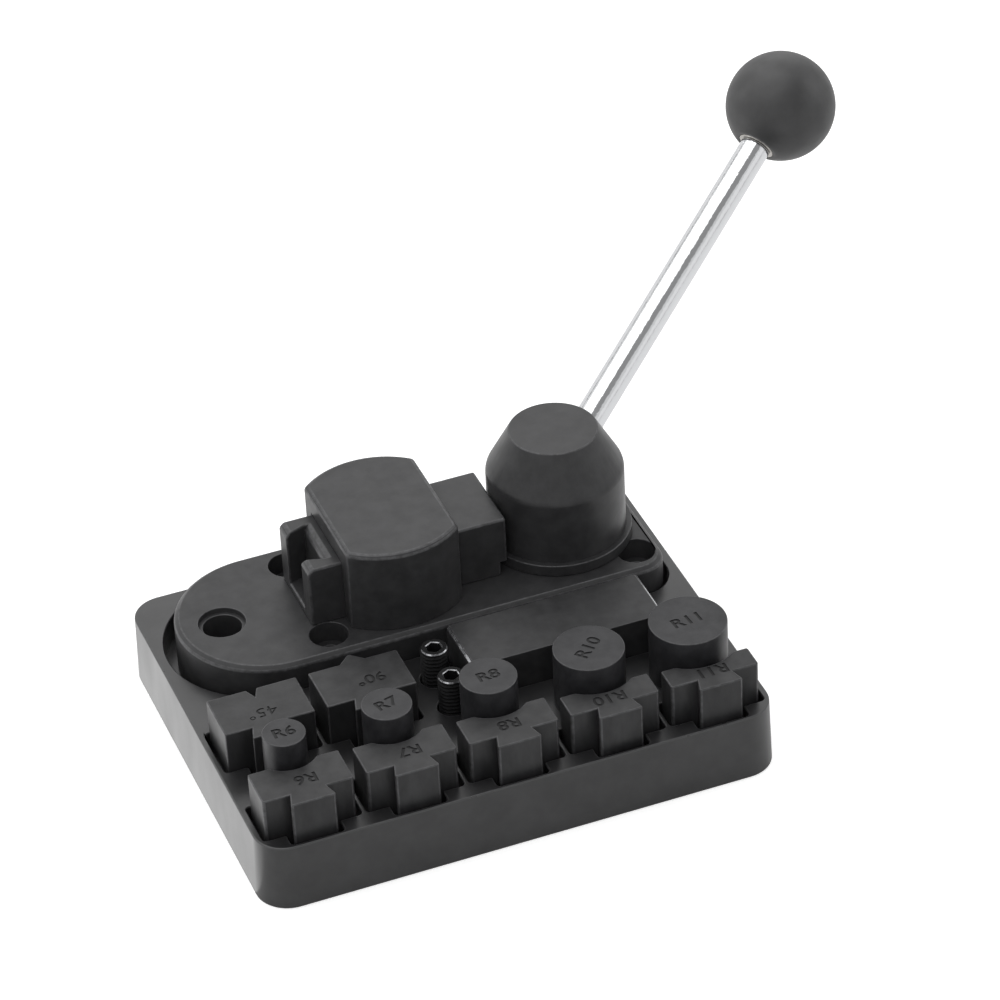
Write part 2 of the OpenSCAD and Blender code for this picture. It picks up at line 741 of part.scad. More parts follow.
// Round punch of one bending radius, standing on the tray by its pin
module punch(i) {
    color("#232325") translate([column_x(i), punch_y, tray_h]) {
        level_cylinder(2 * punch_radii[i], 0, punch_h, round_fn);
        level_cylinder(punch_pin_d, -punch_pin_l, punch_radii[0] / 2);
    }
}

// The body of a die, from its straight face back to depth d, with the tab in front
module die_outline(d) {
    translate([-die_w / 2, 0]) square([die_w, d]);
    polygon([
        [-tab_root_w / 2, 0], [-tab_end_w / 2, -tab_l], [tab_end_w / 2, -tab_l],
        [tab_root_w / 2, 0]
    ]);
}

// Die that bends a strip round the punch of the same column
module ring_die(i) {
    color("#232325") translate([column_x(i), die_front_y, pocket_floor_z])
        linear_extrude(die_h) difference() {
            die_outline(groove_reach - punch_radii[i]);
            translate([0, groove_reach]) circle(punch_radii[i] + strip_t, $fn = round_fn);
        }
}

// Die with a narrow notch of about 45 degrees
module notch_die_45() {
    color("#232325") translate([column_x(0), v_front_y, pocket_floor_z])
        linear_extrude(die_h) difference() {
            die_outline(v_die_d);
            polygon([
                [0, v_die_d - v_notch_depth], [v_notch_w / 2, v_die_d],
                [v_notch_w / 2, v_die_d + overrun], [-v_notch_w / 2, v_die_d + overrun],
                [-v_notch_w / 2, v_die_d]
            ]);
        }
}

// Die with a nose of about 90 degrees
module nose_die_90() {
    color("#232325") translate([column_x(1), v_front_y, pocket_floor_z])
        linear_extrude(die_h) {
            die_outline(v_die_d);
            polygon([
                [-v_nose_w / 2, v_die_d], [v_nose_w / 2, v_die_d],
                [v_nose_tip_w / 2, v_die_d + v_nose_l], [-v_nose_tip_w / 2, v_die_d + v_nose_l]
            ]);
        }
}

// Flat bending block with its short top edges bevelled
module flat_block() {
    half_l = block_l / 2;
    color("#29292b") translate([block_x, block_y + block_w / 2, pocket_floor_z])
        rotate([90, 0, 0]) linear_extrude(block_w) polygon([
            [-half_l, 0], [half_l, 0], [half_l, block_h - block_chamfer],
            [half_l - block_chamfer, block_h], [block_chamfer - half_l, block_h],
            [-half_l, block_h - block_chamfer]
        ]);
}

// Socket set screw standing in its hole in the tray
module set_screw(i) {
    r = set_screw_d / 2;
    bevel = set_screw_chamfer;
    color("#3a3a3c") at_set_screw(i) translate([0, 0, tray_h - set_screw_hole_depth])
        difference() {
            rotate_extrude($fn = small_fn) polygon([
                [0, 0], [r - bevel, 0], [r, bevel], [r, set_screw_l - bevel],
                [r - bevel, set_screw_l], [0, set_screw_l]
            ]);
            hex_hole(set_screw_hex, set_screw_l - set_screw_hex_depth, set_screw_l + overrun);
        }
}

storage_tray();
machine_plate();
guide_housing();
guide_housing_screws();
ram();
return_spring();
spring_pin();
pivot_bush();
eccentric_hub();
pivot_shaft();
retaining_washer();
shaft_screw();
lever_rod();
knob_insert();
ball_knob();
punch(0);  // punch_r6
punch(1);  // punch_r7
punch(2);  // punch_r8
punch(3);  // punch_r10
punch(4);  // punch_r11
ring_die(0);  // die_r6
ring_die(1);  // die_r7
ring_die(2);  // die_r8
ring_die(3);  // die_r10
ring_die(4);  // die_r11
notch_die_45();
nose_die_90();
flat_block();
set_screw(0);  // set_screw_back
set_screw(1);  // set_screw_front
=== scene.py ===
import json
import math

import bmesh
import bpy
from mathutils import Matrix, Vector


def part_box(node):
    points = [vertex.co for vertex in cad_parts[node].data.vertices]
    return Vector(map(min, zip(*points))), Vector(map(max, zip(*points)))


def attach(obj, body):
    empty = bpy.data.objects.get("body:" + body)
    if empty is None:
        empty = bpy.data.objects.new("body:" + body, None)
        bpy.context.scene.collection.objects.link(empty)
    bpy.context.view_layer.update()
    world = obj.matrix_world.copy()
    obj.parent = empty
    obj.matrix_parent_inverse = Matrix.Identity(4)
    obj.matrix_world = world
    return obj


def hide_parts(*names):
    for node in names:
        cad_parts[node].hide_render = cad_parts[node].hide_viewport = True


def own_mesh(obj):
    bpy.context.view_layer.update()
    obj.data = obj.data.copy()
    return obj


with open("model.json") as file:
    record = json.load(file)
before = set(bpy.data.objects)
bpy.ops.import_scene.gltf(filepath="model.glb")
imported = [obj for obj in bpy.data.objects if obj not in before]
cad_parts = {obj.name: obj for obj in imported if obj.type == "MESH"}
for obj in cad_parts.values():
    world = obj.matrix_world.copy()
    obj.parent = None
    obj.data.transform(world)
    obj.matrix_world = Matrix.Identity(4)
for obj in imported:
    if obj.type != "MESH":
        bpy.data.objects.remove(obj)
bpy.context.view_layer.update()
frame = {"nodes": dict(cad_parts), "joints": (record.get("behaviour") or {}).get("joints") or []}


# Storage tray. One moulding of black ABS that carries the machine and holds the
# loose tools in pockets. The steel plate drops into its recess and is screwed
# through it to the bench.
MM = 0.001
TRAY_EDGE = 0.45
TRAY_BLACK = "1a1a1b"
TRAY_GREYED = "262627"
TRAY_BLACK_WORN = "343435"
SPARK_GRAIN = 0.6  # the real grain is about 0.2 mm, drawn coarser so that it shows
NOISE_SPAN = (0.3, 0.7)  # most of a noise lies in here
PATCH_SPAN = (0.35, 0.65)  # a narrower span gives the patches clearer edges
WELD = 0.001  # mm within which two corners are one
FLAT_WITHIN = 0.4  # degrees between faces, within which they are one flat
SHARP = 25  # degrees between faces, from which an edge is broken
CREASE = 36  # degrees between faces, from which an edge is shaded crisp
UPRIGHT = 0.99  # mm that an upright edge rises, at least, along each mm of its length
SAME_HEIGHT = 0.1  # mm within which a corner lies at a given height


def linear(shade):
    """Turns an sRGB hex colour into the linear values that the sockets hold."""
    values = []
    for place in (0, 2, 4):
        part = int(shade[place:place + 2], 16) / 255
        values.append(part / 12.92 if part <= 0.04045 else ((part + 0.055) / 1.055) ** 2.4)
    return (*values, 1.0)


def add(tree, kind, values=None, links=None, **settings):
    """Adds one node with its settings, its socket values and its links."""
    node = tree.nodes.new("ShaderNode" + kind)
    for name, setting in settings.items():
        setattr(node, name, setting)
    for socket, value in (values or {}).items():
        node.inputs[socket].default_value = value
    for socket, source in (links or {}).items():
        tree.links.new(source, node.inputs[socket])
    return node


def start_finish(name, shade, roughness, metallic=0.0, ior=None):
    """Starts the material of one finish and returns it with its tree and its shader."""
    material = bpy.data.materials.new(name)
    material.use_nodes = True
    tree = material.node_tree
    shader = tree.nodes["Principled BSDF"]
    shader.inputs["Base Color"].default_value = linear(shade)
    shader.inputs["Roughness"].default_value = roughness
    shader.inputs["Metallic"].default_value = metallic
    if ior is not None:
        shader.inputs["IOR"].default_value = ior
    return material, tree, shader


def grain(tree, shader, size, depth, stretch=(1, 1, 1), detail=2.0, into=None):
    """Raises a grain of the given size and depth in mm, longer along the axes stretched.
    It can be laid over a bump that is there already, into."""
    place = add(tree, "TexCoord")
    mapping = add(tree, "Mapping", {"Scale": [1 / s for s in stretch]},
                  {"Vector": place.outputs["Object"]})
    noise = add(tree, "TexNoise", {"Scale": 1 / (size * MM), "Detail": detail},
                {"Vector": mapping.outputs["Vector"]})
    links = {"Height": noise.outputs["Fac"]}
    if into is not None:
        links["Normal"] = into.outputs["Normal"]
    bump = add(tree, "Bump", {"Strength": 1.0, "Distance": depth * MM}, links)
    tree.links.new(bump.outputs["Normal"], shader.inputs["Normal"])
    return bump


def vary(tree, shader, socket, size, low, high, stretch=(1, 1, 1)):
    """Lets a socket wander between two values, in patches of the given size in mm."""
    place = add(tree, "TexCoord")
    mapping = add(tree, "Mapping", {"Scale": [1 / s for s in stretch]},
                  {"Vector": place.outputs["Object"]})
    noise = add(tree, "TexNoise", {"Scale": 1 / (size * MM), "Detail": 3.0},
                {"Vector": mapping.outputs["Vector"]})
    spread = add(tree, "MapRange", {"From Min": NOISE_SPAN[0], "From Max": NOISE_SPAN[1],
                                    "To Min": low, "To Max": high},
                 {"Value": noise.outputs["Fac"]})
    tree.links.new(spread.outputs["Result"], shader.inputs[socket])


def cloud(tree, shader, size, darker, lighter, stretch=(1, 1, 1)):
    """Lets the colour drift between two shades, in patches of the given size in mm."""
    place = add(tree, "TexCoord")
    mapping = add(tree, "Mapping", {"Scale": [1 / s for s in stretch]},
                  {"Vector": place.outputs["Object"]})
    noise = add(tree, "TexNoise", {"Scale": 1 / (size * MM), "Detail": 5.0, "Roughness": 0.6},
                {"Vector": mapping.outputs["Vector"]})
    spread = add(tree, "MapRange", {"From Min": PATCH_SPAN[0], "From Max": PATCH_SPAN[1]},
                 {"Value": noise.outputs["Fac"]})
    # The colours of a mix are its inputs 6 and 7 and its output 2.
    blend = add(tree, "Mix", {6: linear(darker), 7: linear(lighter)},
                {0: spread.outputs["Result"]}, data_type="RGBA")
    tree.links.new(blend.outputs[2], shader.inputs["Base Color"])


def moulded_abs():
    # Black ABS from a spark-eroded mould: satin, with a fine even grain, greyer
    # where it has been handled, and slightly sunk where the wall shrank.
    material, tree, shader = start_finish("moulded ABS", TRAY_BLACK, 0.31, ior=1.54)
    cloud(tree, shader, 9, TRAY_BLACK, TRAY_GREYED)
    vary(tree, shader, "Roughness", 14, 0.28, 0.35, stretch=(1, 1, 2.5))
    sunk = grain(tree, shader, 16, 0.10, stretch=(1, 1, 2.5), detail=0.0)
    grain(tree, shader, SPARK_GRAIN, 0.004, into=sunk)
    return material


def worn_abs():
    # The same ABS where handling has rubbed the grain off an edge, so it
    # catches more light.
    material, tree, shader = start_finish("handled ABS edge", TRAY_BLACK_WORN, 0.34, ior=1.53)
    vary(tree, shader, "Roughness", 6, 0.26, 0.42)
    return material


def new_piece(shape, name):
    """Turns a finished shape into a piece of the scene."""
    mesh = bpy.data.meshes.new(name)
    shape.to_mesh(mesh)
    shape.free()
    piece = bpy.data.objects.new(name, mesh)
    bpy.context.scene.collection.objects.link(piece)
    return piece


def copy_of(node, name, centre=(0, 0, 0)):
    """Copies a solid's surface with its corners joined and its flats whole. The copy's
    own middle, which its pattern is laid round, is at the centre in mm."""
    shape = bmesh.new()
    shape.from_mesh(frame["nodes"][node].data)
    bmesh.ops.remove_doubles(shape, verts=shape.verts, dist=WELD * MM)
    bmesh.ops.dissolve_limit(shape, angle_limit=math.radians(FLAT_WITHIN),
                             verts=shape.verts, edges=shape.edges)
    middle = Vector(centre) * MM
    bmesh.ops.translate(shape, verts=shape.verts, vec=-middle)
    piece = new_piece(shape, name)
    piece.location = middle
    return piece


def coat(piece, *finishes):
    """Gives a piece its materials: its main one, and those of its edges and marks."""
    for finish in finishes:
        piece.data.materials.append(finish)


def settle(piece):
    """Replaces a piece's modifiers by the mesh that they make."""
    bpy.context.view_layer.update()
    shaped = piece.evaluated_get(bpy.context.evaluated_depsgraph_get())
    mesh = bpy.data.meshes.new_from_object(shaped)
    old = piece.data
    piece.modifiers.clear()
    piece.data = mesh
    bpy.data.meshes.remove(old)


def break_edges(piece, width, upright=None, ring=None):
    """Rounds the outer sharp edges by a width in mm, in the piece's second material. Upright
    edges may have a width of their own, and so may the edges at one height, the ring."""
    at, ring_width = ring or (None, width)
    widest = max(width, upright or width, ring_width)
    shape = bmesh.new()
    shape.from_mesh(piece.data)
    layer = shape.edges.layers.float.new("bevel_weight_edge")
    for edge in shape.edges:
        if edge.is_convex and edge.calc_face_angle(0.0) > math.radians(SHARP):
            along = (edge.verts[1].co - edge.verts[0].co).normalized()
            chosen = upright if upright and abs(along.z) > UPRIGHT else width
            if ring and all(abs(v.co.z + piece.location.z - at * MM) < SAME_HEIGHT * MM
                            for v in edge.verts):
                chosen = ring_width
            edge[layer] = chosen / widest
    shape.to_mesh(piece.data)
    shape.free()
    bevel = piece.modifiers.new("broken edges", "BEVEL")
    bevel.limit_method = "WEIGHT"
    bevel.width = widest * MM
    bevel.segments = 3
    bevel.material = 1
    bevel.use_clamp_overlap = False
    bevel.miter_outer = "MITER_ARC"
    settle(piece)


def smooth_over(piece):
    """Shades rounds smooth and flats flat, with real corners kept crisp."""
    shape = bmesh.new()
    shape.from_mesh(piece.data)
    for face in shape.faces:
        face.smooth = True
    for edge in shape.edges:
        if len(edge.link_faces) == 2:
            edge.smooth = edge.calc_face_angle() < math.radians(CREASE)
    shape.to_mesh(piece.data)
    shape.free()
    weighted = piece.modifiers.new("even shading", "WEIGHTED_NORMAL")
    weighted.keep_sharp = True
    weighted.weight = 100


def fit(piece, node, body):
    """Puts a finished piece in a node's place and on its body."""
    smooth_over(piece)
    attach(piece, body)
    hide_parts(node)


tray = copy_of("storage_tray", "moulded_tray")
coat(tray, moulded_abs(), worn_abs())
break_edges(tray, TRAY_EDGE)
fit(tray, "storage_tray", "base")


# Machine plate. Flat bar steel, milled to one round and one square end,
# chamfered round the top, bored for the punch seat and blackened. Four screws
# through it hold the machine and the tray to the bench.
PLATE_BLACK = "2b2b2c"
PLATE_BLOOM = "353536"  # where dried oil leaves the film greyer
STEEL_EDGE = "38383a"
PLATE_EDGE = 0.25
PLATE_CHAMFER = 1.2
CHAMFER_EDGE = 0.6
MILLING_STEP = 0.5  # one pass of a fine face mill
FILM_GRAIN = 0.35  # the film's own grain is finer, drawn coarser so that it shows


def corners(node):
    """Gives a node's lowest and highest corners in mm."""
    low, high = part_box(node)
    return Vector(low) / MM, Vector(high) / MM


def black_oxide(name, shades, roughness, milled, depth=0.004, streak=(1, 1, 1)):
    # Black oxide on milled steel: a thin dark film that keeps the cutter's
    # marks, with a soft sheen and cloudy patches where the oil has dried.
    material, tree, shader = start_finish(name, shades[0], roughness, ior=1.36)
    cloud(tree, shader, 5, *shades, streak)
    vary(tree, shader, "Roughness", 7, roughness - 0.05, roughness + 0.07)
    marks = grain(tree, shader, MILLING_STEP, depth, stretch=milled, detail=1.0)
    grain(tree, shader, FILM_GRAIN, 0.002, into=marks)
    return material


def worn_oxide():
    # Edges where the black film is rubbed thin and the steel begins to show.
    material, tree, shader = start_finish("rubbed steel edge", STEEL_EDGE, 0.40, metallic=0.15)
    cloud(tree, shader, 1.6, "2e2e2f", "454547")
    vary(tree, shader, "Roughness", 3, 0.34, 0.50)
    return material


rubbed_edge = worn_oxide()
plate = copy_of("machine_plate", "blackened_plate")
coat(plate, black_oxide("black oxide plate", (PLATE_BLACK, PLATE_BLOOM), 0.40, (14, 1, 1)),
     rubbed_edge)
chamfer_foot = corners("machine_plate")[1].z - PLATE_CHAMFER
break_edges(plate, PLATE_EDGE, ring=(chamfer_foot, CHAMFER_EDGE))
fit(plate, "machine_plate", "base")


# Guide housing and the screws that hold it from below. A turned steel block
# with two flats, cut through for the ram, which it holds down on the plate.
HOUSING_EDGE = 0.5


def screw_oxide():
    # Black oxide on rolled screws: matt and oily, with only a dull sheen on the
    # ridges of the thread.
    material, tree, shader = start_finish("black oxide screw steel", "111112", 0.62, ior=1.25)
    cloud(tree, shader, 1.2, "0d0d0e", "171718")
    grain(tree, shader, 0.3, 0.002)
    return material


def finish_node(node, finish):
    """Gives a node that keeps its own solid a material in place of its plain one."""
    materials = frame["nodes"][node].data.materials
    materials.clear()
    materials.append(finish)


steel_block = black_oxide("black oxide guide steel", (PLATE_BLACK, PLATE_BLOOM), 0.36, (1, 1, 10))
housing = copy_of("guide_housing", "guide_block")
coat(housing, steel_block, rubbed_edge)
break_edges(housing, HOUSING_EDGE)
fit(housing, "guide_housing", "base")
screw_black = screw_oxide()
finish_node("guide_housing_screws", screw_black)


# Return spring and its pin. Drawn spring wire, coiled, between a ground pin in the plate and the end
# of its chamber in the ram.
SPRING_LENGTH = 18.0
SPRING_COIL = 6.0
SPRING_WIRE = 1.0
SPRING_TURNS = 7
STEPS_A_TURN = 28
WIRE_SIDES = 12

ram_slide = next(joint for joint in frame["joints"] if joint["name"] == "ram_slide")
spring_low, spring_high = corners("return_spring")
SPRING_START = (ram_slide["deforming_nodes"][0]["fixed_end_x_m"] / MM,
                (spring_low.y + spring_high.y) / 2, (spring_low.z + spring_high.z) / 2)


def drawn_wire():
    # Hard drawn spring wire: bright steel, a little uneven in its gloss.
    material, tree, shader = start_finish("spring steel wire", "9a9c9f", 0.30, metallic=1.0)
    vary(tree, shader, "Roughness", 2, 0.24, 0.38)
    return material


def ground_steel():
    # Cylindrically ground steel: bright, with patches that the wheel left duller.
    material, tree, shader = start_finish("ground steel", "a2a4a7", 0.26, metallic=1.0)
    vary(tree, shader, "Roughness", 1.5, 0.20, 0.34)
    return material


def coil_spring(name):
    """Sweeps the round wire along its helix and closes its two cut ends."""
    rise = (SPRING_LENGTH - SPRING_WIRE) / SPRING_TURNS
    shape = bmesh.new()
    rings = []
    for step in range(STEPS_A_TURN * SPRING_TURNS + 1):
        turn = 2 * math.pi * step / STEPS_A_TURN
        out = Vector((0, math.cos(turn), math.sin(turn)))
        along = Vector((rise / (math.pi * SPRING_COIL), -math.sin(turn), math.cos(turn)))
        aside = along.cross(out).normalized()
        centre = Vector(SPRING_START) + out * (SPRING_COIL / 2)
        centre.x += SPRING_WIRE / 2 + rise * step / STEPS_A_TURN
        ring = []
        for side in range(WIRE_SIDES):
            angle = 2 * math.pi * side / WIRE_SIDES
            point = centre + (out * math.cos(angle) + aside * math.sin(angle)) * (SPRING_WIRE / 2)
            ring.append(shape.verts.new(point * MM))
        rings.append(ring)
    for near, far in zip(rings, rings[1:]):
        for side in range(WIRE_SIDES):
            nxt = (side + 1) % WIRE_SIDES
            shape.faces.new((near[side], near[nxt], far[nxt], far[side]))
    shape.faces.new(rings[0])
    shape.faces.new(rings[-1])
    bmesh.ops.recalc_face_normals(shape, faces=shape.faces)
    return new_piece(shape, name)


bright_pin = ground_steel()
spring = coil_spring("coil_spring")
coat(spring, drawn_wire())
fit(spring, "return_spring", "base")
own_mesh(spring)
finish_node("spring_pin", bright_pin)


# Ram. A steel bar that slides in the housing, with a dovetail slot for the dies
# in its face and a flat end that the hub pushes. Ground on its sliding faces.
RAM_EDGE = 0.7

ram_steel = black_oxide("black oxide ram steel", (PLATE_BLACK, PLATE_BLOOM), 0.34, (12, 1, 1), 0.003)
ram = copy_of("ram", "sliding_ram")
coat(ram, ram_steel, rubbed_edge)
break_edges(ram, RAM_EDGE)
fit(ram, "ram", "ram")


# Bush, shaft, washer and screw under the hub. The bush is flanged bronze,
# pressed into the plate; the ground shaft turns in it and the washer and screw
# keep it from lifting out.
def oiled_bronze():
    # Sintered bronze: matt, with tiny pores that hold oil.
    material, tree, shader = start_finish("sintered bronze", "c39a5c", 0.42, metallic=1.0)
    grain(tree, shader, 0.3, 0.006)
    return material


finish_node("pivot_bush", oiled_bronze())
finish_node("pivot_shaft", bright_pin)
finish_node("retaining_washer", bright_pin)
finish_node("shaft_screw", screw_black)


# Eccentric hub. Turned from bar with a flange at its foot and a cone on top,
# blackened, and turned off centre on its shaft so that it pushes the ram.
FLANGE_R = 21.4
CONE_UP = 23.3  # from the hub's underside to the foot of its cone
HUB_EDGE = 0.3
CONE_EDGE = 1.1
CONE_EDGE_REACH = 1.3  # how far the cone's rounded foot reaches up and down
FEED_RING = 0.6  # real feed is about 0.15 mm a turn, drawn coarser so that it shows
WAVE_RATE = 20  # a wave texture of scale 1 has this many radians in a metre

hub_low, hub_high = corners("eccentric_hub")
HUB_CENTRE = (hub_high.x - FLANGE_R, (hub_low.y + hub_high.y) / 2, hub_low.z)
CONE_FOOT = hub_low.z + CONE_UP


def turned_oxide(name, shades, roughness, depth):
    # Black oxide over a lathe finish: the tool leaves rings round the axis
    # that draw the light out into a soft fan.
    material, tree, shader = start_finish(name, shades[0], roughness, ior=1.36)
    cloud(tree, shader, 5, *shades)
    place = add(tree, "TexCoord")
    rings = add(tree, "TexWave", {"Scale": 2 * math.pi / (FEED_RING * MM) / WAVE_RATE,
                                  "Distortion": 0.6, "Detail": 1.0, "Detail Scale": 2.0},
                {"Vector": place.outputs["Object"]},
                wave_type="RINGS", rings_direction="Z", wave_profile="SIN")
    bump = add(tree, "Bump", {"Strength": 1.0, "Distance": depth * MM},
               {"Height": rings.outputs["Fac"]})
    vary(tree, shader, "Roughness", 7, roughness - 0.05, roughness + 0.07)
    grain(tree, shader, 0.4, 0.002, into=bump)
    return material


hub = copy_of("eccentric_hub", "turned_hub", HUB_CENTRE)
coat(hub, turned_oxide("black oxide turned hub", (PLATE_BLACK, "343435"), 0.34, 0.002), rubbed_edge)
break_edges(hub, HUB_EDGE, ring=(CONE_FOOT, CONE_EDGE))
# The round at the foot of the cone isn't rubbed, so it keeps the hub's own finish.
for face in hub.data.polygons:
    if abs(face.center.z + hub.location.z - CONE_FOOT * MM) < CONE_EDGE_REACH * MM:
        face.material_index = 0
fit(hub, "eccentric_hub", "lever")


# Lever. A polished steel rod, chrome plated, screwed into the hub, with a black
# phenolic ball on a nickel plated insert at its end.
ROD_WAY = (0.742, 0.446, 0.500)  # the direction that the rod leans in
ROD_EDGE = 0.3
INSERT_EDGE = 0.2
BALL_EDGE = 0.35
POLISH_LINE = 0.8  # belt marks are finer, drawn coarser so that they waver in the shine
LINE_DRAWN_OUT = 20  # how many times longer than wide a belt mark is


def chrome_plate():
    # Chrome over belt-polished steel: a hard cool mirror whose reflections
    # waver a little along the rod and are speckled where the plating is thin.
    material, tree, shader = start_finish("chrome plated steel", "d6d7d9", 0.07, metallic=1.0)
    vary(tree, shader, "Roughness", 4, 0.05, 0.13)
    turn = Vector(ROD_WAY).rotation_difference(Vector((0, 0, 1))).to_euler()
    place = add(tree, "TexCoord")
    upright = add(tree, "Mapping", {"Rotation": turn}, {"Vector": place.outputs["Object"]})
    drawn_out = add(tree, "Mapping", {"Scale": (1, 1, 1 / LINE_DRAWN_OUT)},
                    {"Vector": upright.outputs["Vector"]})
    lines = add(tree, "TexNoise", {"Scale": 1 / (POLISH_LINE * MM), "Detail": 4.0},
                {"Vector": drawn_out.outputs["Vector"]})
    bump = add(tree, "Bump", {"Strength": 1.0, "Distance": 0.018 * MM},
               {"Height": lines.outputs["Fac"]})
    grain(tree, shader, 1.1, 0.045, into=bump)
    return material


def nickel_plate():
    # Nickel over a turned brass insert: a grey metal, a shade warmer than chrome.
    material, tree, shader = start_finish("nickel plated insert", "a5a29d", 0.22, metallic=1.0)
    vary(tree, shader, "Roughness", 1.5, 0.14, 0.26)
    return material


def phenolic():
    # Phenolic moulding, tumbled smooth: black, softly glossy, with a slight
    # unevenness that blurs what it reflects.
    material, tree, shader = start_finish("moulded phenolic", "1f1f1f", 0.46, ior=1.58)
    cloud(tree, shader, 6, "1d1d1e", "272728")
    vary(tree, shader, "Roughness", 5, 0.42, 0.52)
    grain(tree, shader, 1.2, 0.004)
    return material


rod = copy_of("lever_rod", "chromed_rod")
chrome = chrome_plate()
coat(rod, chrome, chrome)
break_edges(rod, ROD_EDGE)
fit(rod, "lever_rod", "lever")
insert = copy_of("knob_insert", "plated_knob_insert")
nickel = nickel_plate()
coat(insert, nickel, nickel)
break_edges(insert, INSERT_EDGE)
fit(insert, "knob_insert", "lever")
ball = copy_of("ball_knob", "black_ball")
ball_black = phenolic()
coat(ball, ball_black, ball_black)
break_edges(ball, BALL_EDGE)
fit(ball, "ball_knob", "lever")


# Punches. Five round posts of hardened steel, each turned with a pin below that
# fits the plate's seat, blackened, and engraved on top with its radius.

# Each punch's radius in mm, and how far its mark is turned, in degrees.
PUNCHES = [(6, 0), (7, 13), (8, 2), (10, 41), (11, 5)]
PUNCH_EDGE = 0.25
MARK_HEIGHT = 3.8
MARK_DEPTH = 0.22
MARK_BOLD = 0.11
MARK_WIDE = 1.12
MARK_SPACING = 1.04
CAPITAL_SHARE = 0.70  # of the lettering's size, which is how tall a capital stands


def shaded_cut_steel():
    # The bottom of an engraved mark: blackened steel, rough, and painted darker than the face round
    # it for the shade that falls into the narrow groove.
    material, tree, shader = start_finish("engraved steel", "0d0d0e", 0.60, ior=1.4)
    grain(tree, shader, 0.25, 0.004)
    return material


def engrave(piece, words, place, turn, mark, bold):
    """Cuts a mark into a flat top: its middle and bold strokes in mm, its turn in degrees."""
    lettering = bpy.data.curves.new("mark", "FONT")
    lettering.body = words
    lettering.size = MARK_HEIGHT * MM / CAPITAL_SHARE
    lettering.align_x = "CENTER"
    lettering.align_y = "CENTER"
    lettering.extrude = MARK_DEPTH * MM
    lettering.offset = bold * MM
    lettering.space_character = 1.0 if bold else MARK_SPACING
    lettering.resolution_u = 3
    stamp = bpy.data.objects.new("mark", lettering)
    bpy.context.scene.collection.objects.link(stamp)
    bpy.context.view_layer.update()
    cutter_mesh = bpy.data.meshes.new_from_object(
        stamp.evaluated_get(bpy.context.evaluated_depsgraph_get()))
    cutter_mesh.transform(Matrix.Diagonal((MARK_WIDE, 1, 1, 1)))
    cutter_mesh.transform(Matrix.Rotation(math.radians(turn), 4, "Z"))
    cutter_mesh.transform(Matrix.Translation(Vector(place) * MM - piece.location))
    shape = bmesh.new()
    shape.from_mesh(cutter_mesh)
    bmesh.ops.remove_doubles(shape, verts=shape.verts, dist=WELD * MM / 10)
    bmesh.ops.recalc_face_normals(shape, faces=shape.faces)
    coat(piece, mark)
    for face in shape.faces:
        face.material_index = len(piece.data.materials) - 1
    cutter = new_piece(shape, "cutter")
    cutter.location = piece.location
    coat(cutter, *piece.data.materials)
    cut = piece.modifiers.new("mark", "BOOLEAN")
    cut.operation = "DIFFERENCE"
    cut.solver = "EXACT"
    cut.material_mode = "INDEX"
    cut.object = cutter
    settle(piece)
    bpy.data.objects.remove(cutter)
    bpy.data.objects.remove(stamp)


# The engraved grooves are coloured darker than the face as painted shade.
engraved = shaded_cut_steel()
punch_steel = turned_oxide("black oxide turned punch", ("222224", "303032"), 0.38, 0.0015)
for radius, turn in PUNCHES:
    node = f"punch_r{radius}"
    low, high = corners(node)
    x = high.x - radius
    y = (low.y + high.y) / 2
    punch = copy_of(node, f"turned_{node}", (x, y, 0))
    coat(punch, punch_steel, rubbed_edge)
    break_edges(punch, PUNCH_EDGE)
    engrave(punch, f"R{radius}", (x, y, high.z), turn, engraved, MARK_BOLD)
    fit(punch, node, node)


# Dies. Blocks of hardened steel, milled with a round groove for one punch, a
# notch or a nose, and with a dovetail tab that drops into the ram's slot. Their
# sides keep the upright lines of the saw and the grinder.

# Each die's node and mark, and how far right and back of its middle the mark
# stands, in mm.
DIES = [("die_r6", "R6", 1.0, 0.7), ("die_r7", "R7", 1.0, 0.7), ("die_r8", "R8", 0.0, 0.7),
        ("die_r10", "R10", -0.5, 0.7), ("die_r11", "R11", 0.0, 0.7),
        ("notch_die_45", "45°", -0.5, -0.5), ("nose_die_90", "90°", 2.1, -0.5)]
DIE_EDGE = 0.4
ROUND_DIE_CORNER = 0.85
MARK_TURNED = 180  # the marks are read from behind the tray

die_steel = black_oxide("black oxide die steel", ("212122", "303031"), 0.40, (1, 1, 16), 0.005,
                        (1, 1, 3))
for node, words, right, back in DIES:
    low, high = corners(node)
    middle = (low + high) / 2
    die = copy_of(node, "milled_" + node)
    coat(die, die_steel, rubbed_edge)
    break_edges(die, DIE_EDGE, ROUND_DIE_CORNER if words.startswith("R") else DIE_EDGE)
    # The figure 4 isn't drawn bold, because its thick outline would cross itself.
    engrave(die, words, (middle.x + right, middle.y + back, high.z), MARK_TURNED, engraved,
            0.0 if "4" in words else MARK_BOLD)
    fit(die, node, node)


# Flat block. A ground and blackened steel bar, chamfered at its two short top
# edges, that the work is flattened on.
BLOCK_EDGE = 0.2
SLANTED = 0.5  # how far a chamfer's face leans both outwards and upwards


def bare_steel():
    # Steel ground after blackening: a bright narrow band, duller in places.
    material, tree, shader = start_finish("bare ground steel", "b4b5b8", 0.22, metallic=1.0)
    vary(tree, shader, "Roughness", 2, 0.16, 0.30)
    return material


block = copy_of("flat_block", "ground_block")
coat(block, black_oxide("black oxide ground block", ("262627", "323233"), 0.40, (14, 1, 1), 0.003),
     rubbed_edge, bare_steel())
for face in block.data.polygons:
    if abs(face.normal.x) > SLANTED and face.normal.z > SLANTED:
        face.material_index = 2
break_edges(block, BLOCK_EDGE)
fit(block, "flat_block", "flat_block")


